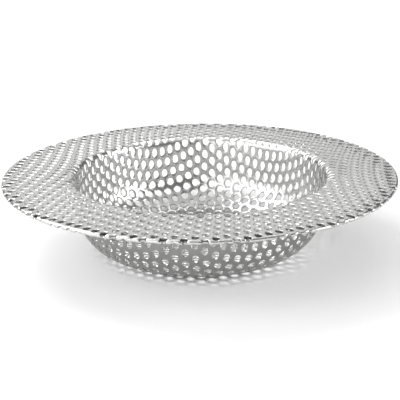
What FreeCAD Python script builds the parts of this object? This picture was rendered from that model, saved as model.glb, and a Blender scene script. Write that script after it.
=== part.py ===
import FreeCAD, Part
import bisect
import math
import os

# A drop-in sink strainer pressed from one piece of perforated stainless sheet.
# Round holes are punched in the flat sheet on a triangular pitch and a disc is cut from it.
# The disc is drawn into a bowl with a wide flat rim, and its edge is folded under as a hem.
# The origin is the middle of the floor's underside, +Z is up, and sizes are in millimetres.

# Overall sizes
RIM_DIAMETER = 114.0
HEIGHT = 22.5
MOUTH_DIAMETER = 77.4

# Drawn sheet: bends are radii of its upper face, and the wall's lean is in degrees
SHEET = 0.5
MOUTH_BEND = 2.2
FLOOR_BEND = 12.0
WALL_LEAN = 6.0
HEM_WIDTH = 3.0
HEM_GAP = 0.16

# Perforation of the flat sheet, with the angle of a row of holes from +X in degrees
HOLE_DIAMETER = 2.1
HOLE_PITCH = 3.25
ROW_ANGLE = 23.5
EDGE_MARGIN = 0.5

# Growth of the sheet's area where the punch stretches it into the bowl
BOWL_STRETCH = 1.09

# Step along the section in which the drawing of the sheet is followed
STATION_STEP = 0.02
# Holes this close to the end of a flat run are cut after the runs are joined
SEAM_MARGIN = 0.05
# How far a hole's cutter stands out of the sheet's middle
CUTTER_REACH = 0.8
# A hole is an ellipse where its two half sizes differ by more than this
ROUND_ENOUGH = 0.002

AXIS_FOOT = FreeCAD.Vector(0, 0, 0)
UP = FreeCAD.Vector(0, 0, 1)
FLAT_RUNS = ("floor", "rim", "hem_return")
# On bent sheet a hole is a four-sided window of the oval's area
WINDOW_SHARE = math.sqrt(math.pi) / 2


class Station:
    """A place on the sheet's middle line: radius, height, heading and distance along it."""

    def __init__(self, radius, height, heading, along):
        self.radius = radius
        self.height = height
        self.heading = heading
        self.along = along

    def advanced(self, length, turn):
        """The station at the end of a straight run or an arc that starts here."""
        heading = self.heading + turn
        if turn:
            bend = length / turn
            radius = self.radius + bend * (math.sin(heading) - math.sin(self.heading))
            height = self.height - bend * (math.cos(heading) - math.cos(self.heading))
        else:
            radius = self.radius + length * math.cos(heading)
            height = self.height + length * math.sin(heading)
        return Station(radius, height, heading, self.along + length)

    def beside(self, reach):
        """The point at a distance above (or below) the middle line, in the XZ plane."""
        x = self.radius - reach * math.sin(self.heading)
        z = self.height + reach * math.cos(self.heading)
        return FreeCAD.Vector(x, 0, z)


class Run:
    """One straight or bent stretch of the middle line, between two stations."""

    def __init__(self, name, start, length, turn):
        self.name = name
        self.start = start
        self.length = length
        self.turn = turn
        self.end = start.advanced(length, turn)

    def at(self, share):
        return self.start.advanced(self.length * share, self.turn * share)

    def edge(self, reach):
        """The run's edge in the section, at a distance above or below the middle line."""
        first = self.start.beside(reach)
        last = self.end.beside(reach)
        if self.turn:
            return Part.Arc(first, self.at(0.5).beside(reach), last).toShape()
        return Part.LineSegment(first, last).toShape()


class Hole:
    """One drawn hole: where it sits on the sheet, and its half sizes along and across the section."""

    def __init__(self, station, bearing, half_along, half_across):
        self.station = station
        self.bearing = bearing
        self.half_along = half_along
        self.half_across = half_across

    def outline(self, height):
        """The hole's oval on a flat run, at a height."""
        outward = FreeCAD.Vector(math.cos(self.bearing), math.sin(self.bearing), 0)
        across = FreeCAD.Vector(-math.sin(self.bearing), math.cos(self.bearing), 0)
        centre = outward * self.station.radius + UP * height
        along_end = centre + outward * self.half_along
        across_end = centre + across * self.half_across
        if self.half_along - self.half_across > ROUND_ENOUGH:
            curve = Part.Ellipse(along_end, across_end, centre)
        elif self.half_across - self.half_along > ROUND_ENOUGH:
            curve = Part.Ellipse(across_end, along_end, centre)
        else:
            curve = Part.Circle(centre, UP, self.half_along)
        return Part.Wire(curve.toShape())

    def window(self, corners):
        """A cutter with the hole's width: four corners of the section, turned a little about the axis."""
        half_turn = math.degrees(WINDOW_SHARE * self.half_across / self.station.radius)
        cutter = Part.Face(Part.makePolygon(corners + corners[:1]))
        cutter.rotate(AXIS_FOOT, UP, math.degrees(self.bearing) - half_turn)
        return cutter.revolve(AXIS_FOOT, UP, 2 * half_turn)


def section_runs():
    """The runs of the section, from the axis outwards to the free edge of the hem."""
    lean = math.radians(WALL_LEAN)
    corner = math.pi / 2 - lean
    floor_radius = FLOOR_BEND + SHEET / 2
    mouth_radius = MOUTH_BEND - SHEET / 2
    hem_radius = (SHEET + HEM_GAP) / 2
    both_radii = floor_radius + mouth_radius
    wall = (HEIGHT - SHEET - both_radii * (1 - math.sin(lean))) / math.cos(lean)
    mouth = MOUTH_DIAMETER / 2
    floor = mouth - both_radii * math.cos(lean) - wall * math.sin(lean)
    rim = RIM_DIAMETER / 2 - SHEET / 2 - hem_radius - mouth
    plan = [
        ("floor", floor, 0.0),
        ("floor_bend", floor_radius * corner, corner),
        ("wall", wall, 0.0),
        ("mouth_bend", mouth_radius * corner, -corner),
        ("rim", rim, 0.0),
        ("hem_fold", hem_radius * math.pi, -math.pi),
        ("hem_return", HEM_WIDTH, 0.0),
    ]
    runs = []
    here = Station(0.0, SHEET / 2, 0.0, 0.0)
    for name, length, turn in plan:
        runs.append(Run(name, here, length, turn))
        here = runs[-1].end
    return runs


def turned(run):
    """The plain sheet of one run, turned about the axis."""
    upper, lower = run.edge(SHEET / 2), run.edge(-SHEET / 2)
    ends = [
        Part.LineSegment(place.beside(SHEET / 2), place.beside(-SHEET / 2)).toShape()
        for place in (run.start, run.end)
    ]
    outline = Part.Wire(Part.__sortEdges__([upper, lower] + ends))
    return Part.Face(outline).revolve(AXIS_FOOT, UP, 360)


def flat_ring(run, holes):
    """The sheet of a flat run, with the holes that lie wholly on it."""
    low = run.start.height - SHEET / 2
    radii = sorted((run.start.radius, run.end.radius), reverse=True)
    middle = UP * low
    bounds = [Part.Wire(Part.Circle(middle, UP, radius).toShape()) for radius in radii if radius > 0]
    outlines = [hole.outline(low) for hole in holes]
    return Part.makeFace(bounds + outlines, "Part::FaceMakerCheese").extrude(UP * SHEET)


def flat_pattern(reach):
    """Hole centres of the triangular pattern in the flat sheet, out to a radius."""
    row_step = HOLE_PITCH * math.sin(math.radians(60))
    rows = math.ceil(reach / row_step)
    places = math.ceil(2 * reach / HOLE_PITCH)
    for row in range(-rows, rows + 1):
        for place in range(-places, places + 1):
            x = (place + row / 2) * HOLE_PITCH
            y = row * row_step
            if math.hypot(x, y) <= reach:
                yield math.hypot(x, y), math.atan2(y, x) + math.radians(ROW_ANGLE)


def drawn_holes(runs):
    """Every hole of the pattern where the press leaves it, in lists by run.

    Equal areas of flat sheet stay equal when drawn, apart from the stretch in the bowl.
    """
    places = []
    flat_radii = []
    flat_square = 0.0
    stretch = BOWL_STRETCH
    for run in runs:
        if run.name == "rim":
            stretch = 1.0
        steps = math.ceil(run.length / STATION_STEP)
        for step in range(steps):
            here = run.at(step / steps)
            ahead = run.at((step + 1) / steps)
            places.append((run, here, stretch))
            flat_radii.append(math.sqrt(flat_square))
            flat_square += (here.radius + ahead.radius) * run.length / steps / stretch
    last_hole = flat_radii[-1] - HOLE_DIAMETER / 2 - EDGE_MARGIN
    holes = {run.name: [] for run in runs}
    for flat_radius, bearing in flat_pattern(last_hole):
        run, station, stretch = places[bisect.bisect_left(flat_radii, flat_radius)]
        squeeze = station.radius / flat_radius if flat_radius else math.sqrt(stretch)
        growth = stretch / squeeze
        half = HOLE_DIAMETER / 2
        holes[run.name].append(Hole(station, bearing, half * growth, half * squeeze))
    return holes


def room_on_run(hole, run):
    """How far the hole's outline stays inside the ends of its run."""
    before = hole.station.along - run.start.along if run.start.radius > 0 else math.inf
    after = run.end.along - hole.station.along
    return min(before, after) - hole.half_along


def section_station(runs, along):
    """The station at a distance along the section."""
    run = next(run for run in runs if along <= run.end.along)
    return run.at((along - run.start.along) / run.length)


def window_corners(runs, run, hole):
    """The section of a hole's cutter, square to the sheet at both ends of the hole."""
    half = WINDOW_SHARE * hole.half_along
    fold = next(run for run in runs if run.name == "hem_fold")
    if fold.start.along - half < hole.station.along < fold.end.along + half:
        return edge_notch_corners(run, hole.station.radius - half)
    first = section_station(runs, hole.station.along - half)
    last = section_station(runs, hole.station.along + half)
    return [
        first.beside(CUTTER_REACH),
        last.beside(CUTTER_REACH),
        last.beside(-CUTTER_REACH),
        first.beside(-CUTTER_REACH),
    ]


def edge_notch_corners(run, inner):
    """The section of a cutter for a hole that the fold of the hem passes through.

    It is open to the edge, and cuts the layer that the hole's middle is on, or both.
    """
    between_layers = HEIGHT - SHEET - HEM_GAP / 2
    top = HEIGHT + CUTTER_REACH
    bottom = HEIGHT - 2 * SHEET - HEM_GAP - CUTTER_REACH
    low, high = {
        "rim": (between_layers, top),
        "hem_fold": (bottom, top),
        "hem_return": (bottom, between_layers),
    }[run.name]
    outer = RIM_DIAMETER / 2 + CUTTER_REACH
    return [FreeCAD.Vector(x, 0, z) for x, z in ((inner, high), (outer, high), (outer, low), (inner, low))]


def perforated_bowl():
    """The finished strainer: drawn sheet and hem in one piece, with every hole open."""
    runs = section_runs()
    holes = drawn_holes(runs)
    pieces = []
    cutters = []
    for run in runs:
        if run.name in FLAT_RUNS:
            inside = [hole for hole in holes[run.name] if room_on_run(hole, run) > SEAM_MARGIN]
            across = [hole for hole in holes[run.name] if room_on_run(hole, run) <= SEAM_MARGIN]
            pieces.append(flat_ring(run, inside))
        else:
            across = holes[run.name]
            pieces.append(turned(run))
        cutters += [hole.window(window_corners(runs, run, hole)) for hole in across]
    sheet = pieces[0].fuse(pieces[1:])
    return sheet.cut(Part.makeCompound(cutters))


os.makedirs("parts", exist_ok=True)
bowl = perforated_bowl()
print("solids", len(bowl.Solids), "faces", len(bowl.Faces), "volume", round(bowl.Volume, 2), bowl.isValid())
bowl.Solids[0].exportStep("parts/perforated_bowl.step")
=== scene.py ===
import bisect
import math

import bmesh
import bpy
from mathutils import Matrix, Vector


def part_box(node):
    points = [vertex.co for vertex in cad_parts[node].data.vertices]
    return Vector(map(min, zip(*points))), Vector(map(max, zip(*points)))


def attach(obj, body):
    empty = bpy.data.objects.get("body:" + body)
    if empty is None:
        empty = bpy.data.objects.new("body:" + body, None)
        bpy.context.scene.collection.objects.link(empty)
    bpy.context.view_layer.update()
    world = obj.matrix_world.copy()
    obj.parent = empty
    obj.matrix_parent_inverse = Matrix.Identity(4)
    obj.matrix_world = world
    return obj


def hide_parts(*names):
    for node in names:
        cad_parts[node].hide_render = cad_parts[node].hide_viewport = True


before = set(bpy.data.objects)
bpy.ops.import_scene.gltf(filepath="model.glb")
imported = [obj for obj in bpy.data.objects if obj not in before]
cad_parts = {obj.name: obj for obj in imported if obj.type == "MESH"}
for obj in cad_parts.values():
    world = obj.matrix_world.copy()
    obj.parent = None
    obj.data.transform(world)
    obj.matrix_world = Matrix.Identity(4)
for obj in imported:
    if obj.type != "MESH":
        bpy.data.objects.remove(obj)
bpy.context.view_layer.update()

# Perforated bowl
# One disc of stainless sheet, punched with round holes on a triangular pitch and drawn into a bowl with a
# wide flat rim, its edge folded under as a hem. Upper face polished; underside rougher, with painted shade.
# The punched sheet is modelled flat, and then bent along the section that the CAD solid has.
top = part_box("perforated_bowl")[1]
rim_radius, height = top.x, top.z
sheet = 0.0005
mouth_radius, mouth_bend, floor_bend, wall_lean = 0.0387, 0.0022, 0.012, math.radians(6)
hem_width, hem_gap = 0.003, 0.00016
hole_radius, pitch, row_angle = 0.00105, 0.00325, math.radians(23.5)
row_step = pitch * math.sin(math.pi / 3)
edge_margin = 0.0005
roll_over, roll_width = 0.00009, 0.00016
bowl_growth = 1.09

corner = math.pi / 2 - wall_lean
floor_arc, mouth_arc, hem_arc = floor_bend + sheet / 2, mouth_bend - sheet / 2, (sheet + hem_gap) / 2
wall = (height - sheet - (floor_arc + mouth_arc) * (1 - math.sin(wall_lean))) / math.cos(wall_lean)
floor = mouth_radius - (floor_arc + mouth_arc) * math.cos(wall_lean) - wall * math.sin(wall_lean)
rim = rim_radius - sheet / 2 - hem_arc - mouth_radius
runs = (
    ("floor", floor, 0.0, bowl_growth),
    ("floor_bend", floor_arc * corner, corner, bowl_growth),
    ("wall", wall, 0.0, bowl_growth),
    ("mouth_bend", mouth_arc * corner, -corner, bowl_growth),
    ("rim", rim, 0.0, 1.0),
    ("hem_fold", hem_arc * math.pi, -math.pi, 1.0),
    ("hem_return", hem_width, 0.0, 1.0),
)

# Stations along the section: flat radius, drawn radius, height and heading of the sheet's middle
station_step = 0.00002
stations = [(0.0, 0.0, sheet / 2, 0.0)]
run_ends = {}
for name, length, turn, growth in runs:
    steps = math.ceil(length / station_step)
    first = len(stations) - 1
    flat, radius, lift, heading = stations[-1]
    square = flat * flat
    for step in range(steps):
        middle = heading + turn * (step + 0.5) / steps
        ahead = radius + length / steps * math.cos(middle)
        square += (radius + ahead) * length / steps / growth
        radius = ahead
        lift += length / steps * math.sin(middle)
        stations.append((math.sqrt(square), radius, lift, heading + turn * (step + 1) / steps))
    run_ends[name] = first, len(stations) - 1
flat_radii = [station[0] for station in stations]
blank_radius = flat_radii[-1]
last_hole = blank_radius - hole_radius - edge_margin

# One cell of the pattern, drawn as a strip: underside, hole, rolled-over edge and upper face
hole_corners = 12
outer_ring = pitch * 0.49
bpy.ops.object.select_all(action="DESELECT")
bpy.ops.mesh.primitive_circle_add(vertices=hole_corners, radius=pitch / 2, location=(0, 0, 0))
bowl = bpy.context.object
bowl.name = "perforated_bowl_sheet"
bpy.ops.object.mode_set(mode="EDIT")
bpy.ops.mesh.select_all(action="SELECT")
bpy.ops.transform.translate(value=(0, 0, -sheet))
for size, lift in (
    (hole_radius / (pitch / 2), 0.0),
    (1.0, sheet - roll_over),
    ((hole_radius + roll_width) / hole_radius, roll_over),
    (pitch / 2 / (hole_radius + roll_width), 0.0),
):
    bpy.ops.mesh.extrude_edges_move(TRANSFORM_OT_translate={"value": (0, 0, lift)})
    bpy.ops.transform.resize(value=(size, size, 1), center_override=(0, 0, 0))

# Every second corner of the outer ring moves out, which makes the cell a hexagon
cell = bmesh.from_edit_mesh(bowl.data)
for v in cell.verts:
    odd = round(math.degrees(math.atan2(v.co.y, v.co.x)) / (360 / hole_corners)) % 2 == 1
    v.select_set(odd and v.co.xy.length > outer_ring)
cell.select_flush_mode()
bmesh.update_edit_mesh(bowl.data)
corner_reach = 2 / math.sqrt(3)
bpy.ops.transform.resize(value=(corner_reach, corner_reach, 1), center_override=(0, 0, 0))

# The cell is repeated over the whole disc
rows = math.ceil(blank_radius / row_step) + 1
places = math.ceil(blank_radius / pitch) + rows // 2 + 1
bpy.ops.mesh.select_all(action="SELECT")
bpy.ops.transform.translate(value=(-(places + rows / 2) * pitch, -rows * row_step, 0))
bpy.ops.object.mode_set(mode="OBJECT")
for count, step in ((2 * places + 1, (pitch, 0, 0)), (2 * rows + 1, (pitch / 2, row_step, 0))):
    array = bowl.modifiers.new("pattern", "ARRAY")
    array.count = count
    array.use_relative_offset = False
    array.use_constant_offset = True
    array.constant_offset_displace = step
    bpy.ops.object.modifier_apply(modifier=array.name)

# Cells outside the disc go, and those too near its edge for a hole are filled
merge = 0.00001
bpy.ops.object.mode_set(mode="EDIT")
pattern = bmesh.from_edit_mesh(bowl.data)
for face in pattern.faces:
    middle = face.calc_center_median()
    below = math.floor(middle.y / row_step)
    near = []
    for row in (below, below + 1):
        x = round(middle.x / pitch - row / 2) * pitch + row * pitch / 2
        y = row * row_step
        near.append(((middle.x - x) ** 2 + (middle.y - y) ** 2, math.hypot(x, y)))
    cell_radius = min(near)[1]
    in_hole = any(-sheet + merge < v.co.z < -merge for v in face.verts)
    face.select_set(cell_radius > blank_radius + pitch or (in_hole and cell_radius > last_hole))
bmesh.update_edit_mesh(bowl.data)
bpy.ops.mesh.delete(type="FACE")
bpy.ops.mesh.select_all(action="SELECT")
bpy.ops.mesh.remove_doubles(threshold=merge)
bpy.ops.mesh.select_all(action="SELECT")
bpy.ops.mesh.fill_holes(sides=hole_corners)

# The sheet is cut along each bend and round the disc, and closed at its sheared edge
snap, touch = 0.00004, 0.000001


def cut_by_circle(mesh, radius):
    """Cut every face that a circle about the axis crosses, with corners near it moved onto it."""
    for v in mesh.verts:
        flat = v.co.xy.length
        if abs(flat - radius) < snap:
            v.co.xy *= radius / flat
    for edge in list(mesh.edges):
        first, second = edge.verts
        past = [first.co.xy.length - radius, second.co.xy.length - radius]
        if past[0] * past[1] < 0 and min(abs(p) for p in past) > touch:
            run = second.co.xy - first.co.xy
            a, b = run.length_squared, first.co.xy.dot(run)
            c = first.co.xy.length_squared - radius * radius
            root = math.sqrt(b * b - a * c)
            share = next(s for s in ((-b - root) / a, (-b + root) / a) if 0 < s < 1)
            bmesh.utils.edge_split(edge, first, share)
    mesh.verts.index_update()
    for face in list(mesh.faces):
        past = {v: v.co.xy.length - radius for v in face.verts}
        on = [v for v in face.verts if abs(past[v]) < touch]
        sides = {past[v] > 0 for v in face.verts if abs(past[v]) >= touch}
        if len(sides) == 2 and len(on) == 2:
            bmesh.utils.face_split(face, on[0], on[1])


pattern = bmesh.from_edit_mesh(bowl.data)
circles = [blank_radius]
for name, pieces in (("floor_bend", 1), ("mouth_bend", 4), ("hem_fold", 6)):
    first, last = run_ends[name]
    circles += [flat_radii[first + (last - first) * k // pieces] for k in range(pieces + 1)]
for circle in circles:
    cut_by_circle(pattern, circle)
outside = [f for f in pattern.faces if f.calc_center_median().xy.length > blank_radius - touch]
bmesh.ops.delete(pattern, geom=outside, context="FACES")
bmesh.update_edit_mesh(bowl.data)
bpy.ops.mesh.select_all(action="DESELECT")
bpy.ops.mesh.select_mode(type="EDGE")
bpy.ops.mesh.select_non_manifold()
bpy.ops.mesh.bridge_edge_loops()
bpy.ops.mesh.select_all(action="SELECT")
bpy.ops.mesh.normals_make_consistent(inside=False)
bpy.ops.object.mode_set(mode="OBJECT")

# The flat sheet's own coordinates are the UV map; each face's dullness and painted shade is an attribute
underside_dull_and_shade, hole_wall_dull_and_shade, upper_dull_and_shade = 1.0, 0.35, 0.0
facing_down, facing_up = -0.5, 0.2
uv = bowl.data.uv_layers.new(name="flat_sheet")
for loop in bowl.data.loops:
    flat = bowl.data.vertices[loop.vertex_index].co
    uv.data[loop.index].uv = (0.5 + flat.x / (2 * blank_radius), 0.5 + flat.y / (2 * blank_radius))
# Besides making them rougher, the mark paints the underside darker as shade, and the hole walls a third as
# much
dull_and_painted_shade = bowl.data.attributes.new("dull_and_painted_shade", "FLOAT", "FACE")
for face in bowl.data.polygons:
    if face.normal.z < facing_down:
        dull_and_painted_shade.data[face.index].value = underside_dull_and_shade
    elif face.normal.z < facing_up:
        dull_and_painted_shade.data[face.index].value = hole_wall_dull_and_shade
    else:
        dull_and_painted_shade.data[face.index].value = upper_dull_and_shade


def drawn(point):
    """Where the press leaves a point of the flat sheet, whose upper face is at height 0."""
    flat = math.hypot(point.x, point.y)
    after = min(max(bisect.bisect_left(flat_radii, flat), 1), len(stations) - 1)
    start, end = stations[after - 1], stations[after]
    share = (flat - start[0]) / (end[0] - start[0])
    radius, lift, heading = (a + (b - a) * share for a, b in zip(start[1:], end[1:]))
    above = point.z + sheet / 2
    radius -= above * math.sin(heading)
    bearing = math.atan2(point.y, point.x) + row_angle
    return Vector((radius * math.cos(bearing), radius * math.sin(bearing), lift + above * math.cos(heading)))


for v in bowl.data.vertices:
    v.co = drawn(v.co)
bowl.data.update()
sharp_edge = math.radians(55)
bpy.ops.object.shade_smooth_by_angle(angle=sharp_edge)


class Shade:
    """A socket of a node tree. Arithmetic on it adds Math nodes."""

    def __init__(self, tree, socket=None):
        self.tree = tree
        self.socket = socket

    def node(self, kind, settings, sockets, out=0):
        """Add a node: its settings first, then the values or links of its sockets."""
        made = self.tree.nodes.new(kind)
        for name, value in settings.items():
            setattr(made, name, value)
        for name, value in sockets.items():
            if isinstance(value, Shade):
                self.tree.links.new(value.socket, made.inputs[name])
            else:
                made.inputs[name].default_value = value
        return Shade(self.tree, made.outputs[out] if len(made.outputs) else None)

    def __add__(self, other):
        return self.node("ShaderNodeMath", {"operation": "ADD"}, {0: self, 1: other})

    def __mul__(self, other):
        return self.node("ShaderNodeMath", {"operation": "MULTIPLY"}, {0: self, 1: other})

    __radd__ = __add__
    __rmul__ = __mul__


# Bright steel: slow waves left by the press, smears of polish and fine lines along the rolled sheet
# The darker colour is painted shade for the underside and hole walls; the polished colour is the steel's own
polished_colour, painted_shade_colour = (0.6, 0.6, 0.594, 1), (0.31, 0.31, 0.307, 1)
wave_height, line_height = 0.8, 0.02
polished_rough, smear_rough, line_rough, dull_rough = 0.16, 0.12, 0.06, 0.12
stainless = bpy.data.materials.new("bright_stainless")
stainless.use_nodes = True
stainless.node_tree.nodes.clear()
steel = Shade(stainless.node_tree)
on_bowl = steel.node("ShaderNodeTexCoord", {}, {}, "Object")
on_sheet = steel.node("ShaderNodeUVMap", {"uv_map": "flat_sheet"}, {})
along_rolling = steel.node("ShaderNodeMapping", {}, {"Vector": on_sheet, "Scale": (900.0, 12.0, 1.0)})
dull_and_shade = steel.node("ShaderNodeAttribute", {"attribute_name": "dull_and_painted_shade"}, {}, "Fac")
waves = steel.node("ShaderNodeTexNoise", {}, {"Vector": on_bowl, "Scale": 90.0, "Detail": 2.0})
smears = steel.node("ShaderNodeTexNoise", {}, {"Vector": on_bowl, "Scale": 45.0, "Detail": 4.0})
lines = steel.node("ShaderNodeTexNoise", {}, {"Vector": along_rolling, "Scale": 1.0, "Detail": 3.0})
relief = steel.node(
    "ShaderNodeBump", {},
    {"Height": waves * wave_height + lines * line_height, "Strength": 0.25, "Distance": 0.0006},
)
# Painted shade: the mask mixes the darker colour into the underside and, a third as much, into the hole
# walls
colour = steel.node(
    "ShaderNodeMix", {"data_type": "RGBA"},
    {"Factor": dull_and_shade, "A": polished_colour, "B": painted_shade_colour}, "Result",
)
principled = steel.node(
    "ShaderNodeBsdfPrincipled", {},
    {"Base Color": colour,
     "Metallic": 1.0,
     "Roughness": smears * smear_rough + lines * line_rough + dull_and_shade * dull_rough + polished_rough,
     "Normal": relief},
)
steel.node("ShaderNodeOutputMaterial", {}, {"Surface": principled})
bowl.data.materials.clear()
bowl.data.materials.append(stainless)
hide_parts("perforated_bowl")
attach(bowl, "root")

# Floor
# A plain white sweep of paper: flat under the strainer and curved up behind it, well outside the picture.
# On its other sides it ends half a metre away, where it is still lit white.
floor_width, sweep_distance, sweep_height, sweep_bend = 1.1, 1.5, 2.0, 0.6
bpy.ops.object.select_all(action="DESELECT")
bpy.ops.mesh.primitive_plane_add(size=floor_width, location=(0, 0, 0))
sweep = bpy.context.object
sweep.name = "floor"
bpy.ops.object.mode_set(mode="EDIT")
bpy.ops.mesh.select_all(action="DESELECT")
flat_floor = bmesh.from_edit_mesh(sweep.data)
for edge in flat_floor.edges:
    edge.select_set(all(v.co.y > 0 for v in edge.verts))
bmesh.update_edit_mesh(sweep.data)
bpy.ops.transform.translate(value=(0, sweep_distance - floor_width / 2, 0))
bpy.ops.mesh.extrude_edges_move(TRANSFORM_OT_translate={"value": (0, 0, sweep_height)})
bpy.ops.mesh.select_all(action="DESELECT")
flat_floor = bmesh.from_edit_mesh(sweep.data)
for edge in flat_floor.edges:
    edge.select_set(all(v.co.y > 0 and v.co.z < sweep_height / 2 for v in edge.verts))
bmesh.update_edit_mesh(sweep.data)
bpy.ops.mesh.bevel(offset=sweep_bend, segments=12, affect="EDGES")
bpy.ops.object.mode_set(mode="OBJECT")
bpy.ops.object.shade_smooth()
paper = bpy.data.materials.new("floor_paper")
paper.use_nodes = True
paper.node_tree.nodes["Principled BSDF"].inputs["Base Color"].default_value = (0.9, 0.9, 0.9, 1)
paper.node_tree.nodes["Principled BSDF"].inputs["Roughness"].default_value = 0.9
sweep.data.materials.append(paper)

# Camera
# It stands where the outline of rim and bowl in the photograph puts it: 285 mm from the middle of the rim
# and 17 degrees above it, rolled by two thirds of a degree.
looked_at, roll = Vector((0, 0, 0.01349)), math.radians(-0.68)
bpy.ops.object.camera_add(location=(0, -0.27262, 0.10559))
camera = bpy.context.object
camera.data.sensor_width = 36
camera.data.lens = 87.85
camera.data.clip_start = 0.01
level = (looked_at - camera.location).to_track_quat("-Z", "Y").to_matrix()
camera.rotation_euler = (level @ Matrix.Rotation(roll, 3, "Z")).to_euler()
bpy.context.scene.camera = camera

# Light
# Soft boxes on the left, front left and right show as patches in the bowl, and the gap in front as a dark
# streak. A key behind on the left edges the holes, a lamp above whitens the sweep, and a ceiling fills the
# shadows. The room is dim too, but the camera sees it as white as the floor.
for name, place, size, power, target in (
    ("key", (-0.5, 0.45, 0.8), (0.6, 0.6), 5.7, (0, 0, 0)),
    ("left", (-0.83, -0.2, 0.42), (1.2, 0.8), 3.3, (0, 0, 0.05)),
    ("left_core", (-0.7, -0.21, 0.46), (0.5, 0.2), 2.5, (0, 0, 0.02)),
    ("right", (0.8, -0.12, 0.33), (0.42, 0.45), 3.9, (0, 0, 0.02)),
    ("ceiling", (0, 0, 1.5), (2.0, 2.0), 7.5, (0, 0, 0)),
    ("front", (-0.35, -0.735, 0.38), (0.5, 0.8), 2.1, (0, 0, 0.02)),
    ("sweep", (-0.1, 0.7, 1.3), (1.2, 0.6), 5.9, (0, 1.4, 0.3)),
):
    bpy.ops.object.light_add(type="AREA", location=place)
    lamp = bpy.context.object
    lamp.name = "light_" + name
    lamp.data.shape = "RECTANGLE"
    lamp.data.size, lamp.data.size_y = size
    lamp.data.energy = power
    lamp.rotation_euler = (Vector(target) - Vector(place)).to_track_quat("-Z", "Y").to_euler()
dim, white = 0.2, 1.0
world = bpy.data.worlds.new("room")
world.use_nodes = True
world.node_tree.nodes.clear()
room = Shade(world.node_tree)
in_view = room.node("ShaderNodeLightPath", {}, {}, "Is Camera Ray")
strength = in_view * (white - dim) + dim
sky = room.node("ShaderNodeBackground", {}, {"Color": (1, 1, 1, 1), "Strength": strength})
room.node("ShaderNodeOutputWorld", {}, {"Surface": sky})
bpy.context.scene.world = world
bpy.context.scene.view_settings.view_transform = "Standard"
